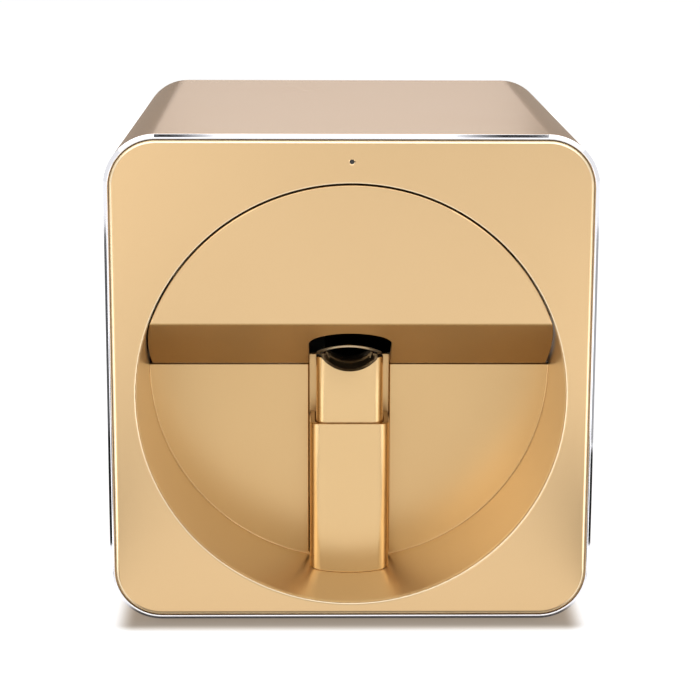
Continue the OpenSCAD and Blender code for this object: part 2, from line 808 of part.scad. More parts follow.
module carriage_body() color([0.13, 0.13, 0.14]) difference() {
    union() {
        block([-20, 20], [14, 18], [124, 186]);
        for (z = [rod_low_z, rod_high_z]) {
            x_bar(rod_y, z, [-18, 18], 6);
            block([-18, 18], [17, rod_y], [z - 6, z + 6]);
        }
        both() block([cart_w / 2 + 0.4, carriage_hw], [-36, 14 + eps], [124, 150]);
        block([-carriage_hw, carriage_hw], [-36, 14 + eps], [124, 126]);
        both() block([15, 18], [7, 18], [176.5, 188]);
        block([-6, 6], [27, 38.8], [162.3, 167]);
        block([-6, 6], [17, 34], [180, 195]);
    }
    for (z = [rod_low_z, rod_high_z]) x_bar(rod_y, z, [-19, 19], 4.01);
    block([-13.5, 13.5], [-37, -11.5], [123, 127]);
    x_bar(latch_y, latch_z, [-19, 19], latch_pin_r + 0.01);
    x_bar(latch_y, latch_z, [-latch_knuckle_hw - 0.3, latch_knuckle_hw + 0.3], latch_knuckle_r + 0.3);
    block([-7, 7], [27.6, 30.6], [182, 196]);
}

module carriage_bushings() color([0.72, 0.55, 0.3])
    for (z = [rod_low_z, rod_high_z], x = [-18, 10]) difference() {
        x_bar(rod_y, z, [x, x + 8], 4);
        x_bar(rod_y, z, [x - 1, x + 9], rod_r + run_gap);
    }

module ink_cartridge() color([0.16, 0.16, 0.18]) {
    block([-cart_w / 2, cart_w / 2], [cart_y[0] + 2, cart_y[1]], cart_z);
    block([-cart_w / 2 + 3, cart_w / 2 - 3], [cart_y[0], cart_y[0] + 2 + eps], [130, 172]);
    block([-12, 12], [-33, -13], [snout_z, cart_z[0] + eps]);
    block([-9, 9], [cart_y[0] - 3, cart_y[0] + 3], [cart_z[1] - 3, cart_z[1]]);
}

module nozzle_plate() color([0.8, 0.65, 0.3])
    block([-10, 10], [-30, -16], [snout_z - 0.4, snout_z]);

module cartridge_latch() color([0.2, 0.35, 0.6]) difference() {
    union() {
        x_bar(latch_y, latch_z, [-latch_knuckle_hw, latch_knuckle_hw], latch_knuckle_r);
        block([-11, 11], [latch_hook_y, latch_y], [latch_z - 1.5, latch_z + 1.4]);
        block([-11, 11], [latch_hook_y, latch_hook_y + 4], [cart_z[1] + 0.3, latch_z + 1.4]);
        block([-8, 8], [latch_hook_y - 4, latch_hook_y + 0.5], [latch_z - 0.4, latch_z + 1.4]);
    }
    x_bar(latch_y, latch_z, [-16, 16], latch_pin_r + run_gap);
    block([-6, 6], [-8, 4], [latch_z - 3, latch_z + 3]);
}

module latch_pin() color("silver") x_bar(latch_y, latch_z, [-18, 18], latch_pin_r);

// Service station

module capping_station() color([0.18, 0.18, 0.2]) difference() {
    union() {
        block([cap_x - 13, cap_x + 13], [cap_y - 15, cap_y + 15], [chassis_top, tower_top]);
        block([cap_x - 18, cap_x + 18], [cap_y - 12, cap_y + 12], [chassis_top, chassis_top + 3]);
        block([cap_x - 13, cap_x + 13], [cap_y - 12, cap_y + 12], [tower_top - eps, tower_top + 2]);
        block([cap_x - 22, cap_x - 12], [cap_y - 9, cap_y + 9], [tower_top - 8, tower_top]);
    }
    block([cap_x - 11, cap_x + 11], [cap_y - 13, cap_y + 13], [chassis_top - 1, tower_top - 3]);
    block([cap_x - 14, cap_x + 14], [cap_y - 9, cap_y + 9], [40, 80]);
}

module cap_seal() color([0.08, 0.08, 0.08]) difference() {
    block([cap_x - 11, cap_x + 11], [cap_y - 9, cap_y + 9], [tower_top + 2, 117.7]);
    block([cap_x - 9, cap_x + 9], [cap_y - 7, cap_y + 7], [tower_top + 5, 118]);
}

module wiper_blade() color([0.1, 0.1, 0.1]) {
    block([cap_x - 19, cap_x - 17.8], [cap_y - 8, cap_y + 8], [tower_top, 117.7]);
    block([cap_x - 21, cap_x - 16], [cap_y - 8, cap_y + 8], [tower_top, tower_top + 3]);
}

module waste_ink_pad() color([0.93, 0.92, 0.88])
    block([cap_x - 10.6, cap_x + 10.6], [cap_y - 12.6, cap_y + 12.6], [chassis_top, chassis_top + 24]);

module camera_bracket() color([0.66, 0.68, 0.7]) difference() {
    union() {
        block([-14, 14], [bowl_back + back_wall_t, bowl_back + back_wall_t + 1.6], [bowl_z + 84, 204]);
        block([-14, 14], [bowl_back + back_wall_t, -44], [202.4, 204]);
    }
    for (x = [-10, 10]) y_bar(x, bowl_z + 93, [bowl_back, bowl_back + 6], 1.6);
}

module nail_camera() color([0.1, 0.1, 0.1]) {
    block([-8, 8], [-57, -45], [192, 202.4]);
    z_bar(0, -51, [187, 192 + eps], 4);
    z_bar(0, -51, [186.4, 187 + eps], 3);
}

module light_board() color([0.9, 0.9, 0.85]) {
    block([-28, 28], [-57.4, -56], [180, 190]);
    for (x = [-24 : 8 : 24]) if (abs(x) > 4) block([x - 1.5, x + 1.5], [-56 - eps, -55], [182, 185]);
    both() block([10, 13], [bowl_back + back_wall_t + 1.6, -57.4 + eps], [185, 190]);
}

module camera_ribbon() color([0.85, 0.85, 0.88]) {
    block([-20, -10], [-44, 70], [207.6, 208]);
    block([-20, -10], [70 - eps, 70.4], [26, 208]);
    block([-20, -10], [-44.4, -44 + eps], [204, 208]);
}

// Electronics

module main_board() color([0.05, 0.3, 0.15]) {
    block([-50, 50], [20, 100], [board_z, board_top]);
    block([-14, 14], [40, 60], [board_top - eps, board_z + 8]);
    for (x = [-40 : 10 : -20], y = [28, 40]) z_bar(x, y, [board_top - eps, board_z + 12], 4);
    for (x = [24 : 11 : 46]) block([x - 4, x + 4], [84, 90], [board_top - eps, board_z + 9]);
    block([-21, -9], [66, 74], [board_top - eps, 26]);
    block([-50, -42], [88, 98], [board_top - eps, 34]);
    for (y = [28 : 9 : 60]) block([30, 36], [y, y + 5], [board_top - eps, board_z + 4]);
}

module radio_module() color([0.75, 0.76, 0.78]) {
    block([8, 26], [66, 78], [board_top, board_top + 1]);
    block([10, 24], [67, 77], [board_top + 1 - eps, board_top + 3]);
}

module leads() color([0.15, 0.15, 0.15]) {
    for (z = [socket_z - 1.6, socket_z + 1.6]) {
        y_bar(inlet_x, z, [94 + lead_bend, 104], lead_r);
        translate([inlet_x + lead_bend, 94 + lead_bend, z]) rotate([0, 0, 180])
            rotate_extrude(angle = 90) translate([lead_bend, 0]) circle(lead_r);
        x_bar(94, z, [inlet_x + lead_bend, -50], lead_r);
    }
    for (x = [24, 27]) {
        z_bar(x, 108, [board_z + 6 + lead_bend, fan_z - fan_w / 2], lead_r);
        translate([x, 108 - lead_bend, board_z + 6 + lead_bend]) rotate([0, 90, 0])
            rotate_extrude(angle = 90) translate([lead_bend, 0]) circle(lead_r);
        y_bar(x, board_z + 6, [90, 108 - lead_bend], lead_r);
    }
}

// Rear

module rear_cover() color([0.16, 0.15, 0.14]) difference() {
    union() {
        body_slab(wall_t + 0.25, [panel_in, rear_y]);
        square_bars(fan_x, fan_z, fan_hole, [panel_in - 0.5, panel_in + 1], 3);
    }
    corner_bars([panel_in - 1, rear_y + 1], 1.7);
    corner_bars([rear_y - screw_sink, rear_y + 1], 3.2);
    fan_grille();
    vents(-82, -26, fan_z, 52);
    vents(34, 83, 66, 22);
    y_bar(inlet_x, socket_z, [panel_in - 1, rear_y + 1], 5.3);
    block([port_x - 6.2, port_x + 6.2], [panel_in - 1, rear_y + 1], [socket_z - 6.2, socket_z + 6.2]);
    y_bar(button_x, socket_z, [panel_in - 1, rear_y + 1], button_r + 1.7);
}

// A row of upright vent slots
module vents(x0, x1, z, h) {
    for (x = [x0 : vent_pitch : x1])
        panel([panel_in - 1, rear_y + 1]) translate([x, z]) round_rect(vent_w, h, vent_w / 2 - 0.1);
}

// Ring slots in front of the fan, with the spokes left standing
module fan_grille() difference() {
    for (r = [10 : 6 : 22]) difference() {
        y_bar(fan_x, fan_z, [panel_in - 1, rear_y + 1], r + 4.4);
        y_bar(fan_x, fan_z, [panel_in - 2, rear_y + 2], r);
    }
    for (a = [45, 135]) translate([fan_x, 0, fan_z]) rotate([0, a, 0])
        block([-40, 40], [panel_in - 3, rear_y + 3], [-1.2, 1.2]);
}

module rear_cover_screws() color([0.25, 0.25, 0.25])
    for (sx = [-1, 1], sz = [-1, 1]) difference() {
        y_screw(sx * channel_x, mid_z + sz * channel_dz, rear_y - screw_sink, channel_hole_r - 0.05, 12);
        translate([sx * channel_x, 0, mid_z + sz * channel_dz])
            for (a = [0, 90]) rotate([0, a, 0]) block([-1.5, 1.5], [rear_y - 1.2, rear_y + 1], [-0.35, 0.35]);
    }

module power_inlet() color([0.08, 0.08, 0.08]) {
    difference() {
        union() {
            block([inlet_x - 7, inlet_x + 7], [104, panel_in], [socket_z - 6, socket_z + 6]);
            y_bar(inlet_x, socket_z, [panel_in - eps, rear_y - 0.2], 5.2);
        }
        y_bar(inlet_x, socket_z, [panel_in - 6, rear_y + 1], 3.2);
    }
    y_bar(inlet_x, socket_z, [panel_in - 6 - eps, rear_y - 1], 1);
}

module data_port() color([0.75, 0.76, 0.78]) {
    difference() {
        block([port_x - 6, port_x + 6], [102, rear_y - 0.2], [socket_z - 6, socket_z + 6]);
        block([port_x - 4.6, port_x + 4.6], [110, rear_y + 1], [socket_z - 4.6, socket_z + 4.6]);
    }
    block([port_x - 2.8, port_x + 2.8], [110 - eps, rear_y - 1.5], [socket_z - 1.6, socket_z + 1.6]);
}

module switch_body() color([0.1, 0.1, 0.1]) difference() {
    union() {
        y_bar(button_x, socket_z, [103, panel_in], 9);
        y_bar(button_x, socket_z, [panel_in - eps, rear_y - 0.2], button_r + 1.6);
    }
    y_bar(button_x, socket_z, [106, rear_y + 1], button_r + 0.06);
}

module power_button() color([0.7, 0.7, 0.72]) difference() {
    y_bar(button_x, socket_z, [109, rear_y - 0.4], button_r);
    translate([button_x, rear_y + 18.6, socket_z]) sphere(19.6);
}

module fan_frame() color([0.12, 0.12, 0.12]) {
    difference() {
        translate([fan_x, 0, fan_z]) panel(fan_y) round_rect(fan_w, fan_w, 4);
        y_bar(fan_x, fan_z, [fan_y[0] - 1, fan_y[1] + 1], fan_w / 2 - 2);
        square_bars(fan_x, fan_z, fan_hole, [fan_y[0] - 1, fan_y[1] + 1], 2.1);
    }
    translate([fan_x, 0, fan_z]) {
        for (a = [0, 60, 120]) rotate([0, a, 0])
            block([-fan_w / 2 + 1, fan_w / 2 - 1], [fan_y[0], fan_y[0] + 2], [-1.5, 1.5]);
    }
    y_bar(fan_x, fan_z, [fan_y[0], fan_y[0] + 2.4], 13);
    y_bar(fan_x, fan_z, [fan_y[0] + 2.4 - eps, fan_y[0] + 11], 1.45);
}

module fan_rotor() color([0.1, 0.1, 0.11]) difference() {
    union() {
        y_bar(fan_x, fan_z, [fan_y[0] + 3, fan_y[1] - 0.8], 12);
        intersection() {
            for (i = [0 : fan_blades - 1])
                translate([fan_x, fan_y[0] + 8.8, fan_z]) rotate([0, 360 * i / fan_blades, 0])
                    rotate([38, 0, 0]) translate([10, -6, -0.7]) cube([20, 12, 1.4]);
            y_bar(fan_x, fan_z, [fan_y[0] + 3.4, fan_y[1] - 1], fan_w / 2 - 3);
        }
    }
    y_bar(fan_x, fan_z, [fan_y[0], fan_y[0] + 12], 1.5);
}

outer_sleeve();
front_trim();
front_bezel();
hand_bowl();
rest_column();
finger_rest();
rest_spring();
rest_stop_screw();
nail_guide();
front_cover();
cover_magnets();
bowl_magnets();
indicator_light();
indicator_board();
feet();
base_chassis();
chassis_screws();
side_frame_left();
side_frame_right();
rails();
rail_blocks();
gantry_frame();
gantry_bushings();
cross_rods();
lead_screw();
lead_nut();
screw_bearing_block();
y_motor();
y_motor_bracket();
x_motor();
motor_pulley();
idler_pulley();
idler_pin();
drive_belt();
encoder_strip();
carriage_body();
carriage_bushings();
ink_cartridge();
nozzle_plate();
cartridge_latch();
latch_pin();
capping_station();
cap_seal();
wiper_blade();
waste_ink_pad();
nail_camera();
camera_bracket();
light_board();
camera_ribbon();
main_board();
radio_module();
leads();
rear_cover();
rear_cover_screws();
power_inlet();
data_port();
switch_body();
power_button();
fan_frame();
fan_rotor();
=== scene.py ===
import json
import math

import bmesh
import bpy
from mathutils import Matrix, Vector


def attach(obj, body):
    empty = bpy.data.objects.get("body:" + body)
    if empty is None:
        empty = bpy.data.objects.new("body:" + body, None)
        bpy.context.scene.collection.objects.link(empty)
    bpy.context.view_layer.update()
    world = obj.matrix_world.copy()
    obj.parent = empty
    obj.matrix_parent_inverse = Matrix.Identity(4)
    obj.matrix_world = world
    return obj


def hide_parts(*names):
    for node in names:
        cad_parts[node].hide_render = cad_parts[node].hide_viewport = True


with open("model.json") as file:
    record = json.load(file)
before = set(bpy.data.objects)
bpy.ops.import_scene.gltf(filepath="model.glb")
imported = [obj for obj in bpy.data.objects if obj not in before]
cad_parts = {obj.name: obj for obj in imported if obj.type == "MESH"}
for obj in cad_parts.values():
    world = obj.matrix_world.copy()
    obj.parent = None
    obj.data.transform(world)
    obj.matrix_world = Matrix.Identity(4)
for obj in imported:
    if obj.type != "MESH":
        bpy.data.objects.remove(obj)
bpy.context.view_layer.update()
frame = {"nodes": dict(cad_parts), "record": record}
nodes = frame["nodes"]
record = frame["record"]
bodyOf = {n: b for b, members in record["behaviour"]["bodies"].items() for n in members}
slotOf = {s["node"]: s["material_slot"] for s in record["subparts"]}
mm = 0.001
print("frame loaded:", len(nodes), "nodes")

# Camera
camera = {
    "place": (-0.01543, -1.02259, 0.31647),
    "heading": -0.942,  # degrees
    "down": 12.233,
    "roll": 0.207,
    "lens": 113.65,
}
camData = bpy.data.cameras.new("camera")
camData.lens = camera["lens"]
camData.sensor_width = 36
camData.clip_end = 60
cam = bpy.data.objects.new("camera", camData)
bpy.context.scene.collection.objects.link(cam)
cam.matrix_world = (
    Matrix.Translation(camera["place"])
    @ Matrix.Rotation(math.radians(camera["heading"]), 4, "Z")
    @ Matrix.Rotation(math.radians(90 - camera["down"]), 4, "X")
    @ Matrix.Rotation(math.radians(camera["roll"]), 4, "Z")
)
bpy.context.scene.camera = cam
bpy.context.scene.view_settings.view_transform = "Standard"
print("camera placed")


# A shader socket that can be added and multiplied
class Link:
    def __init__(self, paint, socket):
        self.paint, self.socket = paint, socket

    def __add__(self, other):
        return self.paint.maths("ADD", self, other)

    def __mul__(self, other):
        return self.paint.maths("MULTIPLY", self, other)


class Shader:
    def __init__(self, tree):
        self.tree = tree
        tree.nodes.clear()

    def add(self, kind, settings=None, values=None, out=0):
        made = self.tree.nodes.new(kind)
        for key, value in (settings or {}).items():
            setattr(made, key, value)
        for key, value in (values or {}).items():
            if isinstance(value, Link):
                self.tree.links.new(value.socket, made.inputs[key])
            else:
                made.inputs[key].default_value = value
        return Link(self, made.outputs[out])

    def maths(self, operation, a, b):
        return self.add("ShaderNodeMath", {"operation": operation}, {0: a, 1: b})

    def place(self):
        return self.add("ShaderNodeTexCoord", out="Object")

    def noise(self, size, detail=2.0, stretch=(1, 1, 1)):
        spot = self.add("ShaderNodeMapping", {}, {"Vector": self.place(), "Scale": stretch})
        return self.add(
            "ShaderNodeTexNoise", {}, {"Vector": spot, "Scale": 1 / size, "Detail": detail}
        )

    def spread(self, value, low, high):
        return self.add("ShaderNodeMapRange", {}, {"Value": value, "To Min": low, "To Max": high})

    # Sockets 6 and 7 are the mix node's two colours, and output 2 is their mix
    def mix(self, share, a, b):
        first, second = [(*c, 1) if isinstance(c, tuple) else c for c in (a, b)]
        return self.add(
            "ShaderNodeMix", {"data_type": "RGBA"}, {0: share, 6: first, 7: second}, out=2
        )

    def bump(self, height, depth, strength=0.3):
        return self.add(
            "ShaderNodeBump", {}, {"Height": height, "Distance": depth, "Strength": strength}
        )

    # Emission, the same towards every side
    def glow(self, colour, strength):
        return self.add("ShaderNodeEmission", {}, {"Color": colour, "Strength": strength})


class Paint(Shader):
    def __init__(self, name):
        self.material = bpy.data.materials.new(name)
        self.material.use_nodes = True
        super().__init__(self.material.node_tree)
        self.end = self.tree.nodes.new("ShaderNodeOutputMaterial")

    def finish(self, shader):
        self.tree.links.new(shader.socket, self.end.inputs["Surface"])
        return self.material

    def surface(self, **values):
        words = {k.replace("_", " "): v for k, v in values.items()}
        return self.finish(self.add("ShaderNodeBsdfPrincipled", {}, words))


def srgb(r, g, b):
    def one(v):
        v /= 255
        return v / 12.92 if v <= 0.04045 else ((v + 0.055) / 1.055) ** 2.4

    return (one(r), one(g), one(b))


# Each finish: colour, its second tone, shine, and the size of its grain and patches in millimetres
finishes = {
    "champagne_sleeve": dict(
        colour=srgb(212, 173, 129), fleck=srgb(201, 161, 118), metal=0.9, rough=(0.24, 0.29),
        grain=0.3, patch=60, depth=0.008, coat=0.0,
    ),
    "gold_face": dict(
        colour=srgb(216, 184, 139), fleck=srgb(209, 176, 130), metal=0.96, rough=(0.27, 0.33),
        grain=0.25, patch=60, depth=0.012, coat=0.0,
    ),
    # Painted light: the same gold as gold_face, painted paler so that the inner surfaces look lit
    "gold_inner": dict(
        colour=srgb(239, 218, 182), fleck=srgb(232, 210, 172), metal=0.92, rough=(0.27, 0.33),
        grain=0.25, patch=60, depth=0.012, coat=0.0,
    ),
    "gold_rest": dict(
        colour=srgb(216, 184, 136), fleck=srgb(209, 175, 127), metal=0.96, rough=(0.24, 0.29),
        grain=0.25, patch=40, depth=0.01, coat=0.0,
    ),
    "chrome_trim": dict(
        colour=srgb(236, 236, 240), fleck=srgb(228, 228, 233), metal=1.0, rough=(0.05, 0.1),
        grain=0.8, patch=50, depth=0.002, coat=0.0,
    ),
    "black_plastic": dict(
        colour=srgb(30, 29, 29), fleck=srgb(22, 21, 21), metal=0.0, rough=(0.42, 0.6),
        grain=0.6, patch=30, depth=0.05, coat=0.0,
    ),
    "dark_plastic": dict(
        colour=srgb(52, 49, 47), fleck=srgb(42, 40, 38), metal=0.0, rough=(0.48, 0.64),
        grain=0.7, patch=30, depth=0.06, coat=0.0,
    ),
    "sheet_metal": dict(
        colour=srgb(186, 188, 190), fleck=srgb(160, 163, 167), metal=0.9, rough=(0.3, 0.46),
        grain=1.4, patch=12, depth=0.02, coat=0.0,
    ),
    "cast_frame": dict(
        colour=srgb(150, 153, 158), fleck=srgb(128, 131, 136), metal=0.7, rough=(0.45, 0.62),
        grain=0.9, patch=10, depth=0.08, coat=0.0,
    ),
    "steel_rod": dict(
        colour=srgb(206, 208, 210), fleck=srgb(190, 192, 195), metal=1.0, rough=(0.12, 0.22),
        grain=0.5, patch=8, depth=0.004, coat=0.0,
    ),
    "steel_screw": dict(
        colour=srgb(176, 176, 178), fleck=srgb(150, 150, 153), metal=1.0, rough=(0.24, 0.38),
        grain=0.4, patch=4, depth=0.01, coat=0.0,
    ),
    "magnet": dict(
        colour=srgb(150, 151, 154), fleck=srgb(130, 131, 134), metal=1.0, rough=(0.18, 0.3),
        grain=0.4, patch=3, depth=0.006, coat=0.0,
    ),
    "bronze": dict(
        colour=srgb(190, 148, 88), fleck=srgb(165, 124, 70), metal=0.9, rough=(0.35, 0.5),
        grain=0.3, patch=4, depth=0.02, coat=0.0,
    ),
    "black_rubber": dict(
        colour=srgb(24, 24, 25), fleck=srgb(34, 34, 35), metal=0.0, rough=(0.7, 0.88),
        grain=0.5, patch=6, depth=0.06, coat=0.0,
    ),
    "circuit_board": dict(
        colour=srgb(18, 82, 48), fleck=srgb(12, 62, 36), metal=0.0, rough=(0.28, 0.42),
        grain=1.6, patch=5, depth=0.03, coat=0.3,
    ),
    "motor_can": dict(
        colour=srgb(88, 90, 94), fleck=srgb(70, 72, 76), metal=0.7, rough=(0.34, 0.48),
        grain=0.8, patch=10, depth=0.03, coat=0.0,
    ),
    "light_panel": dict(
        colour=srgb(236, 234, 224), fleck=srgb(220, 218, 206), metal=0.0, rough=(0.3, 0.45),
        grain=0.7, patch=5, depth=0.02, coat=0.2,
    ),
    "ribbon": dict(
        colour=srgb(214, 216, 220), fleck=srgb(186, 188, 194), metal=0.0, rough=(0.35, 0.5),
        grain=0.9, patch=4, depth=0.03, coat=0.1,
    ),
    "felt": dict(
        colour=srgb(228, 224, 212), fleck=srgb(196, 190, 176), metal=0.0, rough=(0.86, 0.96),
        grain=0.6, patch=6, depth=0.3, coat=0.0,
    ),
    "latch_blue": dict(
        colour=srgb(58, 96, 156), fleck=srgb(48, 82, 138), metal=0.0, rough=(0.34, 0.48),
        grain=0.6, patch=8, depth=0.03, coat=0.1,
    ),
    "film": dict(
        colour=srgb(214, 212, 200), fleck=srgb(150, 150, 146), metal=0.0, rough=(0.16, 0.26),
        grain=0.5, patch=5, depth=0.005, coat=0.2,
    ),
    "dark_light": dict(
        colour=srgb(16, 12, 10), fleck=srgb(26, 19, 15), metal=0.0, rough=(0.12, 0.22),
        grain=0.5, patch=2, depth=0.004, coat=0.3,
    ),
}

# Painted light: parts of a piece painted a paler or deeper colour in place of highlight and shade,
# where each starts and is full along a direction, in metres
paintedLightZones = {
    # painted highlight: the bezel's chamfer and edges behind its front face in pale cream
    "front_bezel": dict(along=(0, 1, 0), start=-0.12066, full=-0.1205, rougher=0.0,
                        colour=srgb(246, 229, 197), fleck=srgb(240, 222, 189)),
    # painted shade: the bowl's back wall and the slot behind it in a deeper gold than the bowl's
    # walls
    "hand_bowl": dict(along=(0, 1, 0), start=-0.0620, full=-0.0618, rougher=0.0,
                      colour=srgb(209, 176, 127), fleck=srgb(201, 166, 117)),
    # painted shade: the cover's slanted underside in a deeper, rougher gold
    "front_cover": dict(along=(0, 0.4496, 0.8932), start=0.0639, full=0.0636, rougher=0.2,
                        colour=srgb(181, 150, 102), fleck=srgb(173, 141, 93)),
}


fineShare = 0.4  # how much of the roughness follows the fine grain
coatRough = 0.15


def mixFinish(name, f, paintedLightZone=None):
    paint = Paint(name)
    fine = paint.noise(f["grain"] * mm)
    cloud = paint.noise(f["patch"] * mm, 3.0)
    share = paint.spread(fine, 0.0, 0.7) + paint.spread(cloud, -0.15, 0.3)
    colour = paint.mix(share, f["colour"], f["fleck"])
    # Painted light: the zone's paler or deeper colour takes over past a plane
    if paintedLightZone:
        along = paint.add("ShaderNodeVectorMath", {"operation": "DOT_PRODUCT"},
                          {0: paint.place(), 1: paintedLightZone["along"]}, out="Value")
        inside = paint.add("ShaderNodeMapRange", {}, {
            "Value": along, "From Min": paintedLightZone["start"], "From Max": paintedLightZone["full"]})
        colour = paint.mix(inside, colour, paint.mix(share, paintedLightZone["colour"], paintedLightZone["fleck"]))
    rough = paint.spread(fine * fineShare + cloud * (1 - fineShare), *f["rough"])
    if paintedLightZone:
        rough = rough + inside * paintedLightZone["rougher"]
    normal = paint.bump(fine, f["depth"] * mm)
    return paint.surface(
        Base_Color=colour, Metallic=f["metal"], Roughness=rough, Normal=normal,
        Coat_Weight=f["coat"], Coat_Roughness=coatRough,
    )


paints = {name: mixFinish(name, f) for name, f in finishes.items()}
for node, paintedLightZone in paintedLightZones.items():
    paints[node] = mixFinish(node + "_paint", finishes[slotOf[node]], paintedLightZone)
print("materials made:", len(paints))


sharpTurn = math.radians(30)  # edges that turn more than this are sharp


def meshOf(bm, name):
    mesh = bpy.data.meshes.new(name)
    bm.to_mesh(mesh)
    bm.free()
    return mesh


def addObject(name, mesh):
    made = bpy.data.objects.new(name, mesh)
    bpy.context.scene.collection.objects.link(made)
    return made


# Puts a mesh in the place of a node, in its finish and on its body
def dressMesh(mesh, name, node, bevel=0.0):
    piece = addObject(name, mesh)
    mesh.shade_smooth()
    mesh.set_sharp_from_angle(angle=sharpTurn)
    slot = slotOf[node]
    mesh.materials.clear()
    mesh.materials.append(paints.get(node, paints[slot]))
    if bevel:
        edge = piece.modifiers.new("edge", "BEVEL")
        edge.width = bevel * mm
        edge.segments = 2
        edge.limit_method = "WEIGHT" if "bevel_weight_edge" in mesh.attributes else "ANGLE"
        edge.angle_limit = sharpTurn
        edge.use_clamp_overlap = False
        edge.miter_outer = "MITER_ARC"
        even = piece.modifiers.new("even", "WEIGHTED_NORMAL")
        even.keep_sharp = True
        even.weight = 50
    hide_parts(node)
    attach(piece, bodyOf[node])


# Edges against another piece stay sharp: where they lie along Y, in metres
plainEdges = {"front_bezel": (-0.1185, 0.0), "hand_bowl": (-0.2, -0.1181)}


# A copy of a solid with its flats made whole and its edges rounded
def dressNode(node, name, bevel):
    bm = bmesh.new()
    bm.from_mesh(nodes[node].data)
    bmesh.ops.remove_doubles(bm, verts=bm.verts, dist=0.002 * mm)
    bmesh.ops.dissolve_limit(
        bm, angle_limit=math.radians(0.3), verts=bm.verts, edges=bm.edges, delimit={"NORMAL"}
    )
    if node in plainEdges:
        low, high = plainEdges[node]
        weight = bm.edges.layers.float.new("bevel_weight_edge")
        for e in bm.edges:
            turns = len(e.link_faces) == 2 and e.calc_face_angle(0) > sharpTurn
            e[weight] = float(turns and not all(low < v.co.y < high for v in e.verts))
    dressMesh(meshOf(bm, name), name, node, bevel)


# Rounds the edges that pick chooses among the sharp ones
def softenEdges(bm, pick, offset, segments):
    turn = math.radians(25)
    sharp = [e for e in bm.edges if len(e.link_faces) == 2 and e.calc_face_angle(0) > turn]
    bmesh.ops.bevel(
        bm, geom=[e for e in sharp if pick(e)], offset=offset, segments=segments, profile=0.5,
        affect="EDGES", material=-1, clamp_overlap=True,
    )


def boxMesh(low, high):
    bm = bmesh.new()
    bmesh.ops.create_cube(bm, size=1)
    size = [b - a for a, b in zip(low, high)]
    bmesh.ops.scale(bm, vec=size, verts=bm.verts)
    bmesh.ops.translate(bm, vec=[(a + b) / 2 for a, b in zip(low, high)], verts=bm.verts)
    return bm


def cutAcross(bm, axis, places):
    for place in places:
        at, along = Vector(), Vector()
        at[axis], along[axis] = place, 1
        everything = bm.verts[:] + bm.edges[:] + bm.faces[:]
        bmesh.ops.bisect_plane(bm, geom=everything, dist=1e-4, plane_co=at, plane_no=along)


near = 0.1  # millimetres within which a corner belongs to a face
touching = 1e-3


# Sinks a round finger trough into the top of a block that was cut across X
def sinkTrough(bm, top, radius, deep):
    for v in bm.verts:
        inside = radius**2 - v.co.x**2
        if v.co.z > top - touching and inside > 0:
            v.co.z = min(top, top - deep + radius - math.sqrt(inside))


def troughCuts(radius, deep, steps):
    swing = math.acos((radius - deep) / radius)
    return [radius * math.sin(swing * k / steps) for k in range(-steps, steps + 1)]


# Finger rest, in millimetres: a block with a finger trough and two round front corners, a tongue
# behind it and a pad in its trough
rest = {
    "half": 14.7, "front": -80.2, "back": -59.7, "bottom": 56.0, "top": 108.6,
    "corner": 4.3, "cornerSteps": 8, "radius": 15.6, "deep": 6.1, "soften": 0.6,
    "troughSteps": 14, "shellSteps": 12,
    "fallFront": -77.2, "fall": 2.6,
    "hollowHalf": 6.6, "hollowFront": -77.5, "hollowTop": 85.8,
    "tongueHalf": 12.0, "tongueBack": -42.5, "tongueBottom": 96.0, "tongueTop": 105.4,
    "tongueRadius": 14.3, "tongueDeep": 4.1, "tongueSoften": 0.4,
    "padHalf": 10.4, "padFront": -70.5, "padFoot": -79.5, "padBottom": 101.5, "padTop": 107.0,
    "padRadius": 17.7, "padDeep": 3.1,
}


def riseOf(e):
    return abs(e.verts[0].co.z - e.verts[1].co.z)


def lowest(e, axis):
    return min(v.co[axis] for v in e.verts)


def highest(e, axis):
    return max(v.co[axis] for v in e.verts)


def makeRestBlock():
    r = rest
    bm = boxMesh((-r["half"], r["front"], r["bottom"]), (r["half"], r["back"], r["top"]))
    uprightFront = lambda e: highest(e, 1) < r["front"] + near and riseOf(e) > r["half"]
    softenEdges(bm, uprightFront, r["corner"], r["cornerSteps"])
    turns = [math.pi / 2 * k / r["cornerSteps"] for k in range(r["cornerSteps"])]
    rounds = [r["half"] - r["corner"] * (1 - math.sin(t)) for t in turns]
    sides = rounds + [r["hollowHalf"]]
    trough = troughCuts(r["radius"], r["deep"], r["troughSteps"])
    cutAcross(bm, 0, sorted(trough + sides + [-x for x in sides]))
    cutAcross(bm, 1, [r["hollowFront"], r["fallFront"]])
    cutAcross(bm, 2, [r["hollowTop"]])
    sinkTrough(bm, r["top"], r["radius"], r["deep"])
    for v in bm.verts:
        back = (v.co.y - r["fallFront"]) / (r["back"] - r["fallFront"])
        if back > 0:
            v.co.z = min(v.co.z, r["top"] - r["fall"] * back)

    # Hollow for the spring and the stop screw, open below and behind
    middle = lambda f: f.calc_center_median()
    inHollow = lambda f: abs(middle(f).x) < r["hollowHalf"]
    under = [f for f in bm.faces
             if inHollow(f) and f.normal.z < -0.9 and middle(f).y > r["hollowFront"]]
    grown = bmesh.ops.extrude_face_region(bm, geom=under)["geom"]
    bmesh.ops.delete(bm, geom=under, context="FACES")
    raised = [g for g in grown if isinstance(g, bmesh.types.BMVert)]
    bmesh.ops.translate(bm, vec=(0, 0, r["hollowTop"] - r["bottom"]), verts=raised)
    openBack = [f for f in bm.faces if inHollow(f) and abs(middle(f).y - r["back"]) < touching
                and middle(f).z < r["hollowTop"]]
    bmesh.ops.delete(bm, geom=openBack, context="FACES")
    bmesh.ops.remove_doubles(bm, verts=bm.verts, dist=touching)
    bmesh.ops.recalc_face_normals(bm, faces=bm.faces)

    # The upright edges stay as they are, and so does the back's outline
    topRim = lambda e: (lowest(e, 2) > r["hollowTop"] + 5 and lowest(e, 1) < r["back"] - near
                        and riseOf(e) < 12)
    softenEdges(bm, topRim, r["soften"], 4)
    return bm


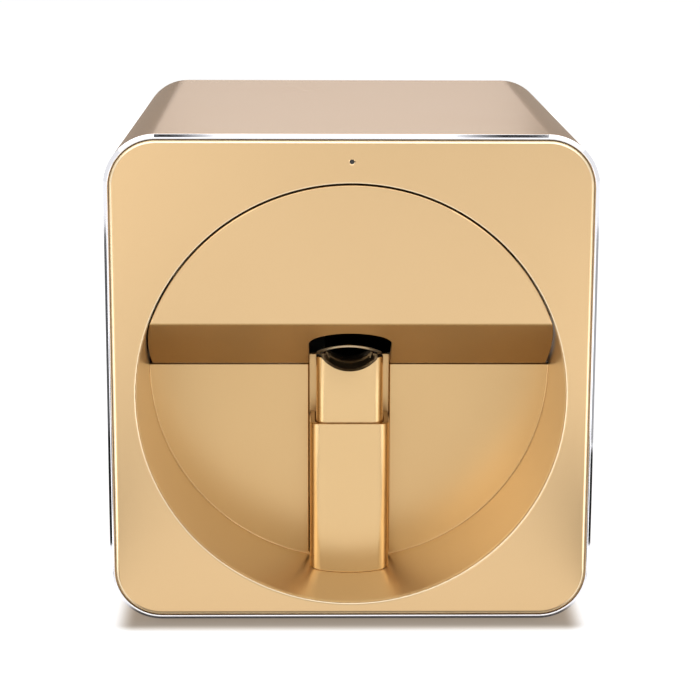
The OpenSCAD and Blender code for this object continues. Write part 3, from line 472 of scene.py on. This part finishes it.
# The tongue and the pad: shells with a trough of their own
def addRestShells(bm):
    r = rest
    for low, high, radius, deep in (
        ((-r["tongueHalf"], r["back"] - 1, r["tongueBottom"]),
         (r["tongueHalf"], r["tongueBack"], r["tongueTop"]), r["tongueRadius"], r["tongueDeep"]),
        ((-r["padHalf"], r["padFront"], r["padBottom"]),
         (r["padHalf"], r["back"] - 0.2, r["padTop"]), r["padRadius"], r["padDeep"]),
    ):
        shell = boxMesh(low, high)
        cutAcross(shell, 0, troughCuts(radius, deep, r["shellSteps"]))
        sinkTrough(shell, high[2], radius, deep)
        for v in shell.verts:
            if low[1] == r["padFront"] and v.co.y < low[1] + near and v.co.z < low[2] + near:
                v.co.y = r["padFoot"]
        shell.normal_update()
        upper = lambda e: highest(e, 1) > low[1] and lowest(e, 2) > low[2] + 1.5
        softenEdges(shell, upper, r["tongueSoften"], 3)
        bm.from_mesh(meshOf(shell, "shell"))


bm = makeRestBlock()
addRestShells(bm)
print("finger rest open edges:", len([e for e in bm.edges if len(e.link_faces) != 2]))
bmesh.ops.scale(bm, vec=(mm, mm, mm), verts=bm.verts)
dressMesh(meshOf(bm, "fingerRest"), "fingerRest", "finger_rest")


def camelName(node):
    first, *rest = node.split("_")
    return first + "".join(word.capitalize() for word in rest)


# Edge rounding of each piece, in millimetres
edges = {
    "outer_sleeve": 0.4, "front_trim": 0.12, "front_bezel": 0.45, "hand_bowl": 0.4,
    "rest_column": 0.4, "nail_guide": 0.25, "front_cover": 0.55,
    "rear_cover": 0.3, "feet": 0.5, "base_chassis": 0.2, "side_frame_left": 0.2,
    "side_frame_right": 0.2, "gantry_frame": 0.3, "rail_blocks": 0.4, "screw_bearing_block": 0.4,
    "y_motor": 0.4, "y_motor_bracket": 0.2, "x_motor": 0.3, "capping_station": 0.3,
    "cap_seal": 0.25, "carriage_body": 0.3, "ink_cartridge": 0.5, "cartridge_latch": 0.25,
    "camera_bracket": 0.2, "nail_camera": 0.25, "light_board": 0.1, "main_board": 0.12,
    "power_inlet": 0.15, "data_port": 0.15, "switch_body": 0.25, "power_button": 0.25,
    "fan_frame": 0.3, "fan_rotor": 0.15, "rear_cover_screws": 0.1, "chassis_screws": 0.1,
    "rest_stop_screw": 0.1, "cover_magnets": 0.15, "bowl_magnets": 0.15, "indicator_board": 0.1,
    "lead_screw": 0.15, "lead_nut": 0.15, "motor_pulley": 0.1, "idler_pulley": 0.1,
    "idler_pin": 0.1, "rails": 0.3, "cross_rods": 0.3, "latch_pin": 0.15, "gantry_bushings": 0.15,
    "carriage_bushings": 0.15, "radio_module": 0.1, "waste_ink_pad": 0.5, "wiper_blade": 0.15,
    "nozzle_plate": 0.08, "drive_belt": 0.1, "indicator_light": 0.08,
}
for node in sorted(nodes):
    if nodes[node].hide_render:
        continue
    if edges.get(node):
        dressNode(node, camelName(node), edges[node])
    else:
        nodes[node].data.materials.clear()
        nodes[node].data.materials.append(paints[slotOf[node]])
print("solids dressed:", len(edges))


# Floor, world and lamps
studio = {
    "floorSize": 9.0,
    "floorSeen": 0.25,  # shade of the floor for the camera
    "floorBounce": 0.3,  # shade of the floor for the light that it sends back
    "footprint": (0.092, 0.119, 0.0),  # painted contact shadow: the floor darkens towards this rectangle
    "seenGlow": dict(near=0.4, far=1.0, reach=0.011),
    "glossGlow": dict(near=0.0, far=1.1, reach=0.016),
    "warmth": srgb(192, 150, 84),  # painted gold reflection on the floor close by
    "ambient": 0.06,
}


# Whether a ray comes from the camera, and whether it was mirrored or let through
def rayKinds(paint):
    path = paint.tree.nodes.new("ShaderNodeLightPath")
    kinds = ("Is Camera Ray", "Is Glossy Ray", "Is Transmission Ray")
    seen, gloss, through = [Link(paint, path.outputs[kind]) for kind in kinds]
    return seen, paint.maths("MAXIMUM", gloss, through)


bm = bmesh.new()
bmesh.ops.create_grid(bm, x_segments=1, y_segments=1, size=studio["floorSize"] / 2)
floor = addObject("studioFloor", meshOf(bm, "studioFloor"))
floorPaint = Paint("floor_white")
seen, gloss = rayKinds(floorPaint)
shade = floorPaint.spread(seen, studio["floorBounce"], studio["floorSeen"])
grey = floorPaint.add("ShaderNodeCombineColor", {}, {0: shade, 1: shade, 2: shade})
rough = floorPaint.spread(floorPaint.noise(0.02), 0.6, 0.75)
matte = floorPaint.add("ShaderNodeBsdfPrincipled", {}, {
    "Base Color": grey, "Roughness": rough, "Specular IOR Level": 0.0})


def floorVector(operation, *values, out=0):
    kind = {"operation": operation}
    return floorPaint.add("ShaderNodeVectorMath", kind, dict(enumerate(values)), out)


flat = floorVector("ABSOLUTE", floorPaint.place())
past = floorVector("MAXIMUM", floorVector("SUBTRACT", flat, studio["footprint"]), (0, 0, 0))
away = floorVector("LENGTH", past, out="Value")


def glowOf(level):
    return floorPaint.add("ShaderNodeMapRange", {"interpolation_type": "SMOOTHSTEP"}, {
        "Value": away, "From Min": 0.0, "From Max": level["reach"],
        "To Min": level["near"], "To Max": level["far"],
    })


# Painted contact shadow: the floor's glow fades towards the footprint, for the camera and in
# reflections, and turns to a painted gold reflection close by
seenGlow = glowOf(studio["seenGlow"])
strength = seenGlow * seen + glowOf(studio["glossGlow"]) * gloss
tint = floorPaint.mix(seenGlow, studio["warmth"], (1.0, 1.0, 1.0))
light = floorPaint.glow(tint, strength)
both = floorPaint.add("ShaderNodeAddShader", {}, {0: matte, 1: light})
floor.data.materials.append(floorPaint.finish(both))

world = bpy.data.worlds.new("studio")
bpy.context.scene.world = world
world.use_nodes = True
white = (1, 1, 1, 1)
air = Shader(world.node_tree)
level = air.spread(air.maths("MAXIMUM", *rayKinds(air)), studio["ambient"], 1.0)
sky = air.add("ShaderNodeBackground", {}, {"Color": white, "Strength": level})
worldOut = air.tree.nodes.new("ShaderNodeOutputWorld")
air.tree.links.new(sky.socket, worldOut.inputs["Surface"])

# Soft boxes: place, what they aim at, size, watts
lamps = {
    "rightBox": dict(place=(0.85, -0.85, 0.3), aim=(0, -0.1, 0.08), size=(0.5, 0.6), power=5.0),
    "leftBox": dict(place=(-0.85, -0.85, 0.3), aim=(0, -0.1, 0.08), size=(0.5, 0.6), power=4.2),
    "topBox": dict(place=(0.0, 0.2, 1.6), aim=(0, 0.05, 0.1), size=(0.9, 0.7), power=6),
    "rearBox": dict(place=(0.3, 1.9, 0.55), aim=(0, 0, 0.1), size=(1.2, 0.8), power=14),
}
for name, lamp in lamps.items():
    data = bpy.data.lights.new(name, "AREA")
    data.shape = "RECTANGLE"
    data.size, data.size_y = lamp["size"]
    data.energy = lamp["power"]
    box = addObject(name, data)
    aim = Vector(lamp["aim"]) - Vector(lamp["place"])
    turn = aim.to_track_quat("-Z", "Y").to_matrix().to_4x4()
    box.matrix_world = Matrix.Translation(lamp["place"]) @ turn
    box.visible_camera = box.visible_glossy = False

# Cards that only gloss sees: place, size across X, Y and Z, and how pale they are. A fade runs from
# pale to the card's shade between two distances from the middle
cards = {
    "cardTop": dict(place=(0, 0, 2.4), size=(6, 6, 0), shade=2.4),
    "cardTopLeft": dict(
        place=(-0.125, -0.3, 1.0), size=(0.07, 0.5, 0), shade=0.0, fade=(0.09, 0.122)),
    "cardTopRight": dict(
        place=(0.13, -0.3, 1.0), size=(0.08, 0.5, 0), shade=0.0, fade=(0.09, 0.125)),
    "cardFloorLeft": dict(place=(-0.32, -0.025, 0.002), size=(0.22, 0.2, 0), shade=0.02),
    "cardFloorRight": dict(place=(0.3, -0.025, 0.002), size=(0.18, 0.2, 0), shade=0.02),
    "cardGreyLeft": dict(place=(-0.8, -0.025, 0.002), size=(0.74, 0.2, 0), shade=0.12),
    "cardGreyRight": dict(place=(0.785, -0.025, 0.002), size=(0.77, 0.2, 0), shade=0.45),
    "cardSlimLeft": dict(place=(-0.136, -0.45, 0.0015), size=(0.04, 0.6, 0), shade=0.15),
    "cardSlimRight": dict(place=(0.131, -0.3, 0.0015), size=(0.038, 0.3, 0), shade=0.15),
    "cardPaleLeft": dict(place=(-0.465, -0.365, 0.001), size=(0.6, 0.47, 0), shade=2.4),
    "cardPaleRight": dict(place=(0.465, -0.365, 0.001), size=(0.6, 0.47, 0), shade=2.4),
    "cardFrontPale": dict(place=(-0.7, -2.0, 0.25), size=(0.8, 0, 0.5), shade=2.6),
    "cardFrontDark": dict(place=(0.1, -2.0, 0.62), size=(0.8, 0, 0.5), shade=0.4),
    "cardBackLow": dict(place=(0.0, 1.2, 0.15), size=(2.6, 0, 0.3), shade=0.05),
    "cardBackLeft": dict(place=(-0.69, 1.19, 0.7), size=(1.0, 0, 1.4), shade=0.33),
    "cardBackRight": dict(place=(0.705, 1.19, 0.7), size=(1.0, 0, 1.4), shade=0.36),
    "cardBackHigh": dict(place=(0.0, 1.25, 1.0), size=(2.6, 0, 1.5), shade=1.0),
}
for name, card in cards.items():
    bm = bmesh.new()
    bmesh.ops.create_grid(bm, x_segments=1, y_segments=1, size=0.5)  # one metre across
    if not card["size"][1]:
        bmesh.ops.rotate(bm, matrix=Matrix.Rotation(math.pi / 2, 3, "X"), verts=bm.verts)
    bmesh.ops.scale(bm, vec=card["size"], verts=bm.verts)
    bmesh.ops.translate(bm, vec=card["place"], verts=bm.verts)
    sheet = addObject(name, meshOf(bm, name))
    cardPaint = Paint("card_" + name.removeprefix("card").lower())
    shine = cardPaint.spread(cardPaint.noise(0.05), 0.97 * card["shade"], card["shade"])
    if card.get("fade"):
        across = cardPaint.add("ShaderNodeSeparateXYZ", {}, {0: cardPaint.place()})
        side = cardPaint.add("ShaderNodeMapRange", {}, {
            "Value": cardPaint.maths("ABSOLUTE", across, 0.0),
            "From Min": card["fade"][0], "From Max": card["fade"][1],
            "To Min": 1.0, "To Max": 0.0})
        shine = shine + side
    sheet.data.materials.append(cardPaint.finish(cardPaint.glow(white, shine)))
    sheet.visible_camera = sheet.visible_diffuse = False
    sheet.visible_shadow = sheet.visible_transmission = False
print("studio lit")
